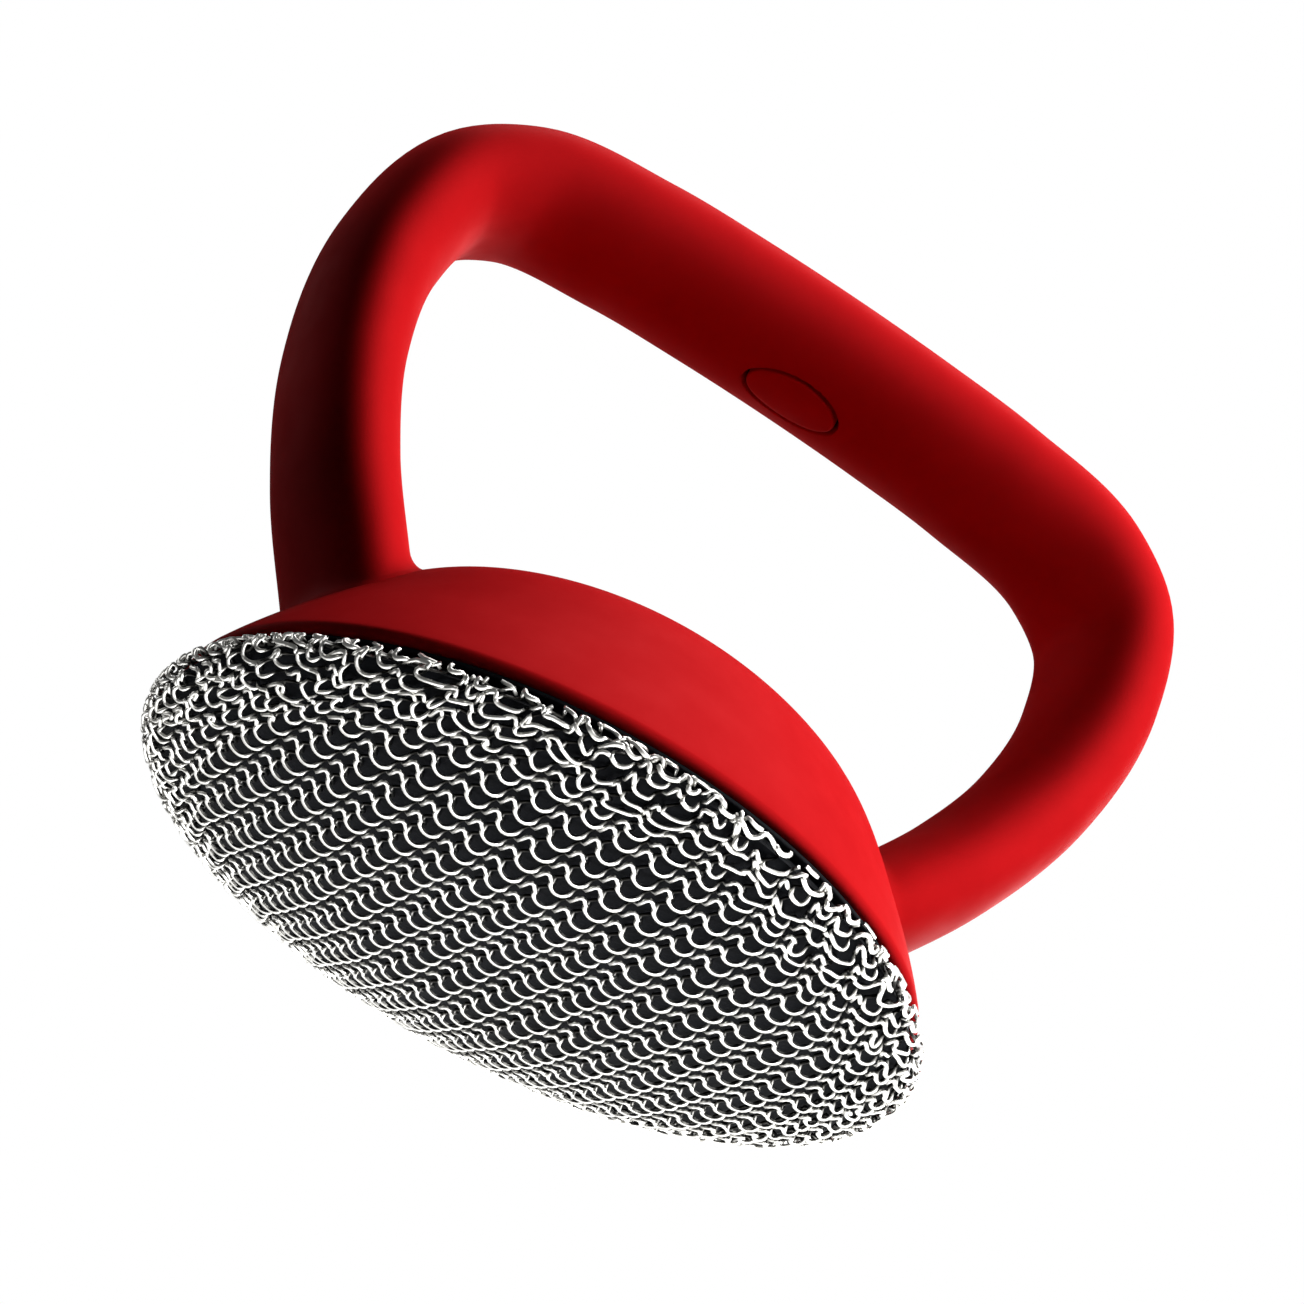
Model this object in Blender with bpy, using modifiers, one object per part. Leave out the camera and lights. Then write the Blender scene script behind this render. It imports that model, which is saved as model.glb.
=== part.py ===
# Steel pot brush: a round, domed scrubbing head faced with knitted steel wire, under a loop handle.
# Metres, +Z up. The middle of the wire face rests on Z = 0 and the loop handle stands in the XZ plane.

import math

import bmesh
import bpy
import numpy as np
from mathutils import Matrix, Vector

# Shared by every piece: the gap between neighbours, how far a cutter runs past, and roundness
fit_gap = 0.0003
overrun = 0.005
turned_steps = 48

# Knitted wire cover: a crowned net, flattened where the brush stands, whose edge wraps the pad
cover_radius = 0.0505
cover_thickness = 0.001
crown_radius = 0.1528
crown_flattening = 0.0013
cover_corner_width = 0.0062
cover_corner_height = 0.0041
cover_hem_depth = 0.0027
cover_hem_rise = 0.0015
cover_cells = 17
cover_stand_rows = 3
cover_wrap_rows = 3
cell_opening_share = 0.72
cell_square_share = 0.9

# Wire that draws the edge of the cover into the groove
wire_radius = 0.0004
wire_sides = 6

# Rubber pad under the cover; its band shows as a black line below the rim
pad_clearance = 0.0004
pad_band_height = 0.0008
pad_setback = 0.0005

# Dome; its rim stands back from the wrapped edge of the cover
rim_inset = 0.0025
rim_flare = math.radians(30)
dome_height = 0.0286
dome_wall = 0.0026
lip_width = 0.0035
lip_round = 0.0009
lip_steps = 4
shelf_width = 0.004
dome_outline_shares = ((1.0, 0.0), (0.865, 0.335), (0.661, 0.727), (0.443, 0.92), (0.0, 1.0))
dome_steps_per_span = 4

# Carrier plate with snap posts, and the bosses of the dome that take them
plate_thickness = 0.0025
post_radius = 0.0024
post_height = 0.009
post_circle = 0.024
post_first_angle = math.radians(60)
post_angles = (post_first_angle, math.pi - post_first_angle, math.pi + post_first_angle, -post_first_angle)
boss_wall = 0.0022
boss_clearance = 0.0012
boss_sides = 20
post_sides = 16

# Loop handle: half of its centre line as shares of the reach and of the rise above the rim
loop_overhang = 0.0049
loop_rise = 0.0815
loop_outline_shares = (
    (0.69, 0.223),
    (0.848, 0.379),
    (0.962, 0.548),
    (1.0, 0.739),
    (0.939, 0.883),
    (0.814, 0.948),
    (0.515, 0.987),
    (0.256, 0.997),
    (0.0, 1.0),
)
loop_steps = (2, 3, 3, 3, 3, 3, 3, 2, 1)
foot_depth = 0.0095
leg_thickness = 0.0129
leg_width = 0.0299
shoulder_thickness = 0.0138
shoulder_width = 0.0271
grip_thickness = 0.0142
grip_width = 0.027
shoulder_place_share = 0.45
grip_place_share = 0.8
skin_thickness = 0.0025
loop_sides = 16

# Foot cups inside the dome
cup_wall = 0.0022
cup_floor = 0.0025
cup_sides = 24

# Foot screws
screw_radius = 0.00125
screw_length = 0.011
screw_head_radius = 0.0025
screw_head_height = 0.0018
screw_socket_radius = 0.0011
screw_socket_depth = 0.001
screw_edge_distance = 0.00795
screw_steps = 12
socket_sides = 6

# Plain oval inlay on the finger side of the grip
inlay_length = 0.0115
inlay_width = 0.007
inlay_depth = 0.0014
inlay_steps = 28

# Places that follow from the sizes
rim_radius = cover_radius - rim_inset
loop_reach = rim_radius + loop_overhang
screw_spacing = leg_width - 2 * screw_edge_distance
face_radius = cover_radius - cover_corner_width
face_edge_height = face_radius**2 / (2 * crown_radius) - crown_flattening
corner_top = face_edge_height + cover_corner_height
hem_height = corner_top + cover_hem_rise
hem_radius = cover_radius - cover_hem_depth
hem_lean = math.atan2(cover_hem_rise, cover_hem_depth)
pad_top = hem_height + fit_gap + pad_band_height
rim_height = pad_top + fit_gap
dome_foot = rim_height + lip_round * (1 + math.sin(rim_flare))
plate_bottom = pad_top + fit_gap
plate_top = plate_bottom + plate_thickness
post_top = plate_top + post_height
shelf_height = plate_top + fit_gap
mouth_radius = rim_radius - lip_width
groove_radius = hem_radius - cover_thickness * math.sin(hem_lean) - 2 * wire_radius - 2 * fit_gap


def clear_scene():
    for old in list(bpy.data.objects):
        bpy.data.objects.remove(old, do_unlink=True)


def make_collection(name):
    made = bpy.data.collections.new(name)
    bpy.context.scene.collection.children.link(made)
    return made


def surface(name, colour, roughness, metallic=0.0):
    made = bpy.data.materials.new(name)
    made.use_nodes = True
    shader = made.node_tree.nodes["Principled BSDF"]
    shader.inputs["Base Color"].default_value = (*colour, 1.0)
    shader.inputs["Roughness"].default_value = roughness
    shader.inputs["Metallic"].default_value = metallic
    return made


def add_piece(name, mesh, material):
    """A named sub-part of the brush, parented to the root empty."""
    piece = bpy.data.objects.new(name, mesh)
    brush.objects.link(piece)
    piece.parent = root
    mesh.materials.append(material)
    return piece


def add_cutter(name, mesh):
    cutter = bpy.data.objects.new(name, mesh)
    cutters.objects.link(cutter)
    cutter.hide_render = True
    cutter.display_type = "WIRE"
    return cutter


def boolean(piece, other, operation="DIFFERENCE"):
    step = piece.modifiers.new(f"{operation.lower()} {other.name}", "BOOLEAN")
    step.operation = operation
    step.object = other


def round_shading(mesh):
    mesh.shade_smooth()
    mesh.set_sharp_from_angle(angle=math.radians(35))


def turned_mesh(name, outline):
    """An open outline in the XZ plane, for a Screw modifier to turn about Z."""
    mesh = bpy.data.meshes.new(name)
    points = [(radius, 0.0, height) for radius, height in outline]
    edges = [(k, k + 1) for k in range(len(points) - 1)]
    mesh.from_pydata(points, edges, [])
    return mesh


def closed_ring_mesh(name, outline):
    """A closed outline in the XZ plane, for a ring that has a hole in the middle."""
    mesh = turned_mesh(name, outline)
    mesh.edges.add(1)
    mesh.edges[-1].vertices = (len(outline) - 1, 0)
    return mesh


def turn(piece, steps):
    screw = piece.modifiers.new("turn", "SCREW")
    screw.steps = steps
    screw.render_steps = steps
    screw.use_merge_vertices = True
    screw.merge_threshold = 0.00001
    screw.use_smooth_shade = False
    return piece


def cylinder_mesh(name, radius, bottom, top, sides, stretch=1.0):
    """A closed cylinder about Z, made oval by stretching it along Y."""
    mesh = bpy.data.meshes.new(name)
    work = bmesh.new()
    place = Matrix.Translation((0.0, 0.0, (bottom + top) / 2)) @ Matrix.Diagonal((1.0, stretch, 1.0, 1.0))
    bmesh.ops.create_cone(
        work, cap_ends=True, segments=sides, radius1=radius, radius2=radius, depth=top - bottom, matrix=place
    )
    work.to_mesh(mesh)
    work.free()
    return mesh


def smooth_path(points, span_steps, first_direction, last_direction):
    """Points along a Catmull-Rom curve through the given ones, with set directions at its two ends."""
    known = [np.array(point, float) for point in points]
    lengths = [np.linalg.norm(b - a) for a, b in zip(known[:-1], known[1:])]
    slopes = [np.array(first_direction, float)]
    for before, after, a, b, c in zip(lengths[:-1], lengths[1:], known[:-2], known[1:-1], known[2:]):
        slopes.append(((b - a) / before * after + (c - b) / after * before) / (before + after))
    slopes.append(np.array(last_direction, float))
    made = []
    for span, (length, steps) in enumerate(zip(lengths, span_steps)):
        for step in range(steps):
            t = step / steps
            made.append(
                (2 * t**3 - 3 * t**2 + 1) * known[span]
                + (t**3 - 2 * t**2 + t) * length * slopes[span]
                + (3 * t**2 - 2 * t**3) * known[span + 1]
                + (t**3 - t**2) * length * slopes[span + 1]
            )
    made.append(known[-1])
    return made


def inset_outline(points, distance):
    """The outline moved sideways, to the right of its direction of travel, with mitred corners."""
    known = [np.array(point, float) for point in points]
    runs = [(b - a) / np.linalg.norm(b - a) for a, b in zip(known[:-1], known[1:])]
    sides = [np.array((run[1], -run[0])) for run in runs]
    made = [known[0] + sides[0] * distance]
    for before, after, point in zip(sides[:-1], sides[1:], known[1:-1]):
        made.append(point + (before + after) * distance / (1 + float(before @ after)))
    made.append(known[-1] + sides[-1] * distance)
    return [(float(radius), float(height)) for radius, height in made]


def crown_height(radius):
    """The crowned face: a shallow bowl, cut flat where the brush stands on it."""
    return max(0.0, radius**2 / (2 * crown_radius) - crown_flattening)


def cover_outline():
    """The outside of the wrapped edge: the end of the crown, round the corner, then in to the hem."""
    start = np.array((face_radius, face_edge_height))
    bend = start + np.array((1.0, face_radius / crown_radius)) * cover_corner_width
    side = np.array((cover_radius, corner_top))
    corner = start / 4 + bend / 2 + side / 4
    return [tuple(map(float, point)) for point in (start, corner, side, (hem_radius, hem_height))]


def crown_rows():
    """Radius of each row of the net that lies on the crown, from the middle outwards."""
    rows = (cover_cells + 1) // 2 - cover_wrap_rows
    return [face_radius * (row + 0.5) / (rows - 0.5) for row in range(rows)]


def cover_vertex(x, y):
    """Places one corner of the unit net: square rows in the middle, circles round the edge."""
    reach = max(abs(x), abs(y))
    row = round(reach * cover_cells / 2 - 0.5)
    rows = crown_rows()
    if abs(x) >= abs(y):
        angle = math.pi / 4 * y / x + (math.pi if x < 0 else 0.0)
    else:
        angle = math.pi / 2 - math.pi / 4 * x / y + (math.pi if y < 0 else 0.0)
    circle = min(1.0, row / (len(rows) - 1))
    across = (1 - circle) * cell_square_share * x / reach + circle * math.cos(angle)
    along = (1 - circle) * cell_square_share * y / reach + circle * math.sin(angle)
    if row >= len(rows):
        radius, height = cover_outline()[row - len(rows) + 1]
    else:
        radius = rows[row]
        height = 0.0 if row < cover_stand_rows else crown_height(radius * math.hypot(across, along))
    return Vector((radius * across, radius * along, height))


def knitted_wire_cover():
    """The knitted wire as a net: each cell of a grid loses its middle, then the net is thickened."""
    mesh = bpy.data.meshes.new("knitted_wire_cover")
    work = bmesh.new()
    bmesh.ops.create_grid(work, x_segments=cover_cells, y_segments=cover_cells, size=1.0)
    for vertex in work.verts:
        vertex.co = cover_vertex(vertex.co.x, vertex.co.y)
    cells = list(work.faces)
    bmesh.ops.inset_individual(work, faces=cells, thickness=0.0)
    for cell in cells:
        middle = cell.calc_center_median()
        for vertex in cell.verts:
            vertex.co = middle + (vertex.co - middle) * cell_opening_share
    bmesh.ops.delete(work, geom=cells, context="FACES_ONLY")
    bmesh.ops.reverse_faces(work, faces=work.faces)
    work.to_mesh(mesh)
    work.free()
    piece = add_piece("knitted_wire_cover", mesh, steel)
    thicken = piece.modifiers.new("thickness", "SOLIDIFY")
    thicken.thickness = cover_thickness
    thicken.offset = -1.0


def cinch_wire():
    centre_radius = groove_radius + fit_gap + wire_radius
    centre_height = hem_height - wire_radius
    outline = [
        (
            centre_radius + wire_radius * math.cos(2 * math.pi * k / wire_sides),
            centre_height - wire_radius * math.sin(2 * math.pi * k / wire_sides),
        )
        for k in range(wire_sides)
    ]
    piece = turn(add_piece("cinch_wire", closed_ring_mesh("cinch_wire", outline), steel), turned_steps)
    round_shading(piece.data)


def scrubbing_pad():
    face = [(0.0, 0.0), *((radius, crown_height(radius)) for radius in crown_rows()[cover_stand_rows - 1 : -1])]
    side = inset_outline([*face, *cover_outline()], -(cover_thickness + pad_clearance))
    band_radius = rim_radius - pad_setback
    band_bottom = hem_height + fit_gap
    outline = [
        (0.0, pad_top),
        (band_radius, pad_top),
        (band_radius, band_bottom),
        (groove_radius, band_bottom),
        (groove_radius, side[-1][1]),
        *reversed(side[:-1]),
    ]
    turn(add_piece("scrubbing_pad", turned_mesh("scrubbing_pad", outline), rubber), turned_steps)


def dome_outline():
    """The outside of the dome's wall, from the top down to where the lip starts."""
    points = [(rim_radius * radius, dome_foot + dome_height * height) for radius, height in dome_outline_shares]
    rising = (-math.sin(rim_flare), math.cos(rim_flare))
    steps = [dome_steps_per_span] * (len(points) - 1)
    path = smooth_path(points, steps, rising, (-1.0, 0.0))
    return [(float(radius), float(height)) for radius, height in reversed(path)]


def lipped_dome_outline():
    """The filled dome with its lip: a round that leaves the flared wall and turns under the rim."""
    turn_angle = math.pi / 2 + rim_flare
    centre_radius = rim_radius - lip_round * math.cos(rim_flare)
    centre_height = rim_height + lip_round
    lip = []
    for k in range(1, lip_steps + 1):
        angle = rim_flare - turn_angle * k / lip_steps
        lip.append((
            centre_radius + lip_round * math.cos(angle),
            centre_height + lip_round * math.sin(angle),
        ))
    return [*dome_outline(), *lip, (0.0, rim_height)]


def dome_clearance_outline():
    """The filled dome grown by the fit gap: the feet of the handle's skin are cut with it."""
    outside = inset_outline(dome_outline(), -fit_gap)
    return [(0.0, outside[0][1]), *outside[1:], (0.0, outside[-1][1])]


def dome_cavity_outline():
    """The hollow of the dome: mouth for the plate, shelf above it, then the wall's inner side."""
    inside = inset_outline(dome_outline(), dome_wall)
    shelf_radius = mouth_radius - shelf_width
    wall = [point for point in inside if point[1] > shelf_height + shelf_width and point[0] < shelf_radius]
    wall[0] = (0.0, wall[0][1])
    return [
        *wall,
        (shelf_radius, wall[-1][1] - (shelf_radius - wall[-1][0])),
        (shelf_radius, shelf_height),
        (mouth_radius, shelf_height),
        (mouth_radius, rim_height - overrun),
        (0.0, rim_height - overrun),
    ]


def half_loop():
    """Points of the centre line from the foot inside the dome up to the middle of the grip."""
    above = [(loop_reach * across, rim_height + loop_rise * up) for across, up in loop_outline_shares]
    lean = np.array(above[1]) - np.array(above[0])
    lean = lean / np.linalg.norm(lean)
    foot = np.array(above[0]) - lean * foot_depth
    return smooth_path([foot, *above], loop_steps, lean, (-1.0, 0.0))


def whole_loop():
    """(centre, direction) of each section from the left foot, over the grip, to the right foot."""
    half = half_loop()
    points = [np.array((-x, z)) for x, z in half] + [np.array((x, z)) for x, z in reversed(half[:-1])]
    directions = []
    for k in range(len(points)):
        run = points[min(k + 1, len(points) - 1)] - points[max(k - 1, 0)]
        directions.append(run / np.linalg.norm(run))
    return points, directions


def loop_sections(inset, extension=0.0):
    """The handle's oval sections, drawn in by the inset and run on past both feet by the extension."""
    points, directions = whole_loop()
    lengths = [0.0] + [float(np.linalg.norm(b - a)) for a, b in zip(points[:-1], points[1:])]
    places = np.cumsum(lengths) / sum(lengths)
    points[0] = points[0] - directions[0] * extension
    points[-1] = points[-1] + directions[-1] * extension
    stations = (0.0, shoulder_place_share, grip_place_share, 1.0)
    sections = []
    for point, run, place in zip(points, directions, places):
        height_share = 1 - abs(2 * place - 1)
        thickness = np.interp(height_share, stations, (leg_thickness, shoulder_thickness, grip_thickness, grip_thickness))
        width = np.interp(height_share, stations, (leg_width, shoulder_width, grip_width, grip_width))
        side = Vector((-run[1], 0.0, run[0]))
        centre = Vector((point[0], 0.0, point[1]))
        sections.append([
            centre
            + side * (thickness / 2 - inset) * math.cos(2 * math.pi * k / loop_sides)
            + Vector((0.0, 1.0, 0.0)) * (width / 2 - inset) * math.sin(2 * math.pi * k / loop_sides)
            for k in range(loop_sides)
        ])
    return sections


def skin_between(work, sections):
    """Faces round a row of sections. Returns the rings of vertices."""
    rings = [[work.verts.new(point) for point in section] for section in sections]
    for one, two in zip(rings[:-1], rings[1:]):
        join_rings(work, one, two)
    return rings


def join_rings(work, one, two):
    for k in range(loop_sides):
        after = (k + 1) % loop_sides
        work.faces.new((one[k], one[after], two[after], two[k]))


def finish_mesh(work, name):
    bmesh.ops.recalc_face_normals(work, faces=work.faces)
    mesh = bpy.data.meshes.new(name)
    work.to_mesh(mesh)
    work.free()
    round_shading(mesh)
    return mesh


def loop_solid_mesh(name, inset, extension=0.0):
    work = bmesh.new()
    rings = skin_between(work, loop_sections(inset, extension))
    work.faces.new(rings[0])
    work.faces.new(rings[-1])
    return finish_mesh(work, name)


def loop_sleeve_mesh(name):
    """The soft skin: outer and inner walls, closed by a ring of faces at each foot."""
    work = bmesh.new()
    outer = skin_between(work, loop_sections(0.0))
    inner = skin_between(work, loop_sections(skin_thickness))
    join_rings(work, outer[0], inner[0])
    join_rings(work, outer[-1], inner[-1])
    return finish_mesh(work, name)


def foot_frame(side):
    """The frame of a foot: origin on its end, Z along the leg. Side is -1 on the left, 1 on the right."""
    points, directions = whole_loop()
    point = points[0] if side < 0 else points[-1]
    run = directions[0] if side < 0 else -directions[-1]
    axis = Vector((run[0], 0.0, run[1]))
    across = Vector((0.0, 1.0, 0.0)).cross(axis)
    turned = Matrix((across, (0.0, 1.0, 0.0), axis)).transposed()
    return Matrix.Translation((point[0], 0.0, point[1])) @ turned.to_4x4()


def dome_shell():
    cavity = turn(add_cutter("dome_cavity", turned_mesh("dome_cavity", dome_cavity_outline())), turned_steps)
    boss_bottom = plate_top + boss_clearance
    bore_radius = post_radius + fit_gap
    bores = []
    for k, angle in enumerate(post_angles):
        place = (post_circle * math.cos(angle), post_circle * math.sin(angle), 0.0)
        boss = add_cutter(
            f"boss_{k}",
            cylinder_mesh(f"boss_{k}", bore_radius + boss_wall, boss_bottom, dome_foot + dome_height, boss_sides),
        )
        boss.location = place
        boolean(cavity, boss)
        bore = add_cutter(
            f"boss_bore_{k}",
            cylinder_mesh(f"boss_bore_{k}", bore_radius, boss_bottom - overrun, post_top + fit_gap, post_sides),
        )
        bore.location = place
        bores.append(bore)
    cup_bottom = -(fit_gap + cup_floor)
    cup_half_thickness = leg_thickness / 2 - skin_thickness + cup_wall
    cup_half_width = leg_width / 2 - skin_thickness + cup_wall
    for side, word in ((-1, "left"), (1, "right")):
        cup = add_cutter(
            f"foot_cup_{word}",
            cylinder_mesh(
                f"foot_cup_{word}",
                cup_half_thickness,
                cup_bottom,
                foot_depth + overrun + dome_wall,
                cup_sides,
                cup_half_width / cup_half_thickness,
            ),
        )
        cup.matrix_world = foot_frame(side)
        boolean(cavity, cup)
    dome = turn(
        add_piece("dome_shell", turned_mesh("dome_shell", lipped_dome_outline()), red_shell), turned_steps
    )
    boolean(dome, cavity)
    passage = add_cutter("core_passage", loop_solid_mesh("core_passage", skin_thickness, fit_gap))
    boolean(dome, passage)
    for cutter in (*screw_paths, *bores):
        boolean(dome, cutter)


def screw_places():
    """(name, frame) of each foot screw; its frame's origin is on the end of the core."""
    for side, word in ((-1, "left"), (1, "right")):
        for row, row_word in ((-1, "front"), (1, "rear")):
            shift = Matrix.Translation((0.0, row * screw_spacing / 2, 0.0))
            yield f"foot_screw_{word}_{row_word}", foot_frame(side) @ shift


def make_screw_paths():
    """The holes for the foot screws, through the cup floors and into the core."""
    bearing = -(2 * fit_gap + cup_floor)
    made = []
    for name, frame in screw_places():
        mesh = cylinder_mesh(
            f"{name}_hole", screw_radius + fit_gap, bearing - overrun, bearing + screw_length + fit_gap, screw_steps
        )
        cutter = add_cutter(f"{name}_hole", mesh)
        cutter.matrix_world = frame
        made.append(cutter)
    return made


def foot_screws():
    bearing = -(2 * fit_gap + cup_floor)
    outline = [
        (0.0, bearing + screw_length),
        (screw_radius, bearing + screw_length - screw_radius),
        (screw_radius, bearing),
        (screw_head_radius, bearing),
        (screw_head_radius, bearing - screw_head_height),
        (0.0, bearing - screw_head_height),
    ]
    head_bottom = bearing - screw_head_height
    for name, frame in screw_places():
        screw = turn(add_piece(name, turned_mesh(name, outline), steel), screw_steps)
        screw.matrix_world = frame
        socket = add_cutter(
            f"{name}_socket",
            cylinder_mesh(
                f"{name}_socket",
                screw_socket_radius,
                head_bottom - overrun,
                head_bottom + screw_socket_depth,
                socket_sides,
            ),
        )
        socket.matrix_world = frame
        boolean(screw, socket)


def carrier_plate():
    outline = [
        (0.0, plate_top),
        (mouth_radius - fit_gap, plate_top),
        (mouth_radius - fit_gap, plate_bottom),
        (0.0, plate_bottom),
    ]
    plate = turn(add_piece("carrier_plate", turned_mesh("carrier_plate", outline), black_plastic), turned_steps)
    for k, angle in enumerate(post_angles):
        post = add_cutter(
            f"snap_post_{k}",
            cylinder_mesh(
                f"snap_post_{k}", post_radius, plate_bottom + plate_thickness / 2, post_top, post_sides
            ),
        )
        post.location = (post_circle * math.cos(angle), post_circle * math.sin(angle), 0.0)
        boolean(plate, post, "UNION")


def handle_core():
    core = add_piece("handle_core", loop_solid_mesh("handle_core", skin_thickness + fit_gap), black_plastic)
    for cutter in screw_paths:
        boolean(core, cutter)


def oval_prism(name, grow):
    """The prism of the oval inlay, on the finger side in the middle of the grip."""
    underside = rim_height + loop_rise - grip_thickness / 2
    radius = inlay_length / 2 + grow
    return cylinder_mesh(
        name,
        radius,
        underside - overrun,
        underside + inlay_depth + grow,
        inlay_steps,
        (inlay_width / 2 + grow) / radius,
    )


def grip_skin():
    skin = add_piece("grip_skin", loop_sleeve_mesh("grip_skin"), red_grip)
    clearance = turn(
        add_cutter("dome_clearance", turned_mesh("dome_clearance", dome_clearance_outline())),
        turned_steps,
    )
    boolean(skin, clearance)
    boolean(skin, add_cutter("inlay_pocket", oval_prism("inlay_pocket", fit_gap)))


def oval_inlay():
    inlay = add_piece("oval_inlay", oval_prism("oval_inlay", 0.0), red_inlay)
    boolean(inlay, add_cutter("grip_outside", loop_solid_mesh("grip_outside", 0.0)), "INTERSECT")


clear_scene()
brush = make_collection("steel_pot_brush")
cutters = make_collection("cutters")
root = bpy.data.objects.new("steel_pot_brush_root", None)
brush.objects.link(root)

red_grip = surface("soft-touch red rubber", (0.62, 0.012, 0.014), 0.5)
red_shell = surface("red soft-touch plastic", (0.62, 0.012, 0.014), 0.45)
red_inlay = surface("red inlay plastic", (0.5, 0.01, 0.012), 0.4)
rubber = surface("black rubber", (0.012, 0.013, 0.017), 0.6)
black_plastic = surface("black nylon", (0.03, 0.03, 0.032), 0.5)
steel = surface("stainless steel", (0.72, 0.72, 0.7), 0.25, 1.0)

screw_paths = make_screw_paths()
knitted_wire_cover()
cinch_wire()
scrubbing_pad()
carrier_plate()
dome_shell()
handle_core()
foot_screws()
grip_skin()
oval_inlay()
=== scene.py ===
import bmesh
import bpy
import numpy as np
from mathutils import Matrix, Vector


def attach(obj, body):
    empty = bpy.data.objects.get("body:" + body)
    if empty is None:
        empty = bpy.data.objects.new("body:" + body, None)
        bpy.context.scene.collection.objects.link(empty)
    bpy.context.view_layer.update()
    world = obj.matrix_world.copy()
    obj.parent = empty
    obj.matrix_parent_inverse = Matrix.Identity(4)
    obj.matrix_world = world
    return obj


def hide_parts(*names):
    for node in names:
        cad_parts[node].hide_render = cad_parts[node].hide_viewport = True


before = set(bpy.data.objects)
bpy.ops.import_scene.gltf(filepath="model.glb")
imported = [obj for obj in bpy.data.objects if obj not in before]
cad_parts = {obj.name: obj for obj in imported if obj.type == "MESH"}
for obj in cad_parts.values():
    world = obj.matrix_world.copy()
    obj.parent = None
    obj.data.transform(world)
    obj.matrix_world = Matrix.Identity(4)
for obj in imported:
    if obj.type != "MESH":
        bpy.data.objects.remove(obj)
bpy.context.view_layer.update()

mm = 0.001
mergeDistance = 1e-7
rng = np.random.default_rng(7)
print("frame loaded:", len(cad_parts), "CAD nodes")


# helpers for colour and nodes

def linearColour(hexText):
    # sRGB hex to linear light, with an alpha of one
    channels = np.array([int(hexText[k:k + 2], 16) for k in (1, 3, 5)]) / 255
    lin = np.where(channels <= 0.04045, channels / 12.92, ((channels + 0.055) / 1.055) ** 2.4)
    return (*map(float, lin), 1.0)


def addNode(tree, kind, settings=None, inputs=None, links=None):
    # one node: its settings, its fixed inputs, and what is linked into it
    node = tree.nodes.new(kind)
    for name, value in (settings or {}).items():
        setattr(node, name, value)
    for name, value in (inputs or {}).items():
        node.inputs[name].default_value = value
    for name, source in (links or {}).items():
        tree.links.new(source, node.inputs[name])
    return node


def newMaterial(name):
    # an empty material: itself, its node tree, its output and the place on the object
    made = bpy.data.materials.new(name)
    made.use_nodes = True
    made.node_tree.nodes.clear()
    output = made.node_tree.nodes.new("ShaderNodeOutputMaterial")
    place = addNode(made.node_tree, "ShaderNodeTexCoord").outputs["Object"]
    return made, made.node_tree, output, place


def noiseAt(tree, place, scale, **inputs):
    return addNode(
        tree, "ShaderNodeTexNoise", inputs={"Scale": scale, **inputs}, links={"Vector": place}
    ).outputs["Fac"]


def cellsAt(tree, place, scale):
    return addNode(
        tree, "ShaderNodeTexVoronoi", inputs={"Scale": scale}, links={"Vector": place}
    ).outputs["Distance"]


def marked(tree, label):
    # the share that a piece's points carry under a label
    return addNode(tree, "ShaderNodeAttribute", {"attribute_name": label}).outputs["Fac"]


def ranged(tree, value, source, target=(0.0, 1.0)):
    # a value carried from its own range to another one
    return addNode(
        tree, "ShaderNodeMapRange",
        inputs={"From Min": source[0], "From Max": source[1], "To Min": target[0], "To Max": target[1]},
        links={"Value": value},
    ).outputs["Result"]


def mixedColour(tree, share, first, second):
    # two colours mixed by a share; each is a hex text or what another node gives
    fixed, linked = {}, {"Factor": share}
    for socket, colour in (("A", first), ("B", second)):
        if isinstance(colour, str):
            fixed[socket] = linearColour(colour)
        else:
            linked[socket] = colour
    return addNode(tree, "ShaderNodeMix", {"data_type": "RGBA"}, fixed, linked).outputs["Result"]


def bumped(tree, height, look):
    strength, depth = look["bump"]
    return addNode(
        tree, "ShaderNodeBump", inputs={"Strength": strength, "Distance": depth}, links={"Height": height}
    ).outputs["Normal"]


def mixedShader(tree, share, first, second):
    either = addNode(tree, "ShaderNodeMixShader", links={"Fac": share})
    tree.links.new(first, either.inputs[1])
    tree.links.new(second, either.inputs[2])
    return either.outputs["Shader"]


def endMaterial(tree, output, inputs, links):
    # the shader that a material ends with
    shader = addNode(tree, "ShaderNodeBsdfPrincipled", inputs=inputs, links=links)
    tree.links.new(shader.outputs["BSDF"], output.inputs["Surface"])


# helpers for meshes

def gridFaces(rows, cols):
    # the quads of a grid of points whose columns close to a ring, as an array of four indices each
    index = np.arange(rows * cols).reshape(rows, cols)
    index = np.hstack((index, index[:, :1]))
    quads = np.stack((index[:-1, :-1], index[:-1, 1:], index[1:, 1:], index[1:, :-1]), axis=-1)
    return quads.reshape(-1, 4)


def endRings(rows, cols):
    # the first and the last ring of such a grid, as two faces
    return [list(range(cols)), list(range((rows - 1) * cols, rows * cols))]


def linked(name, data):
    made = bpy.data.objects.new(name, data)
    bpy.context.scene.collection.objects.link(made)
    return made


def pieceOf(name, mesh, material, smoothAngle, merging):
    # a piece from its mesh: doubles merged where asked, faces turned outwards, smooth but for sharp edges
    work = bmesh.new()
    work.from_mesh(mesh)
    if merging:
        bmesh.ops.remove_doubles(work, verts=work.verts, dist=mergeDistance)
        bmesh.ops.dissolve_degenerate(work, edges=work.edges, dist=mergeDistance)
    bmesh.ops.recalc_face_normals(work, faces=work.faces)
    work.to_mesh(mesh)
    work.free()
    mesh.shade_smooth()
    mesh.set_sharp_from_angle(angle=np.radians(smoothAngle))
    mesh.materials.append(material)
    return linked(name, mesh)


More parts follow.
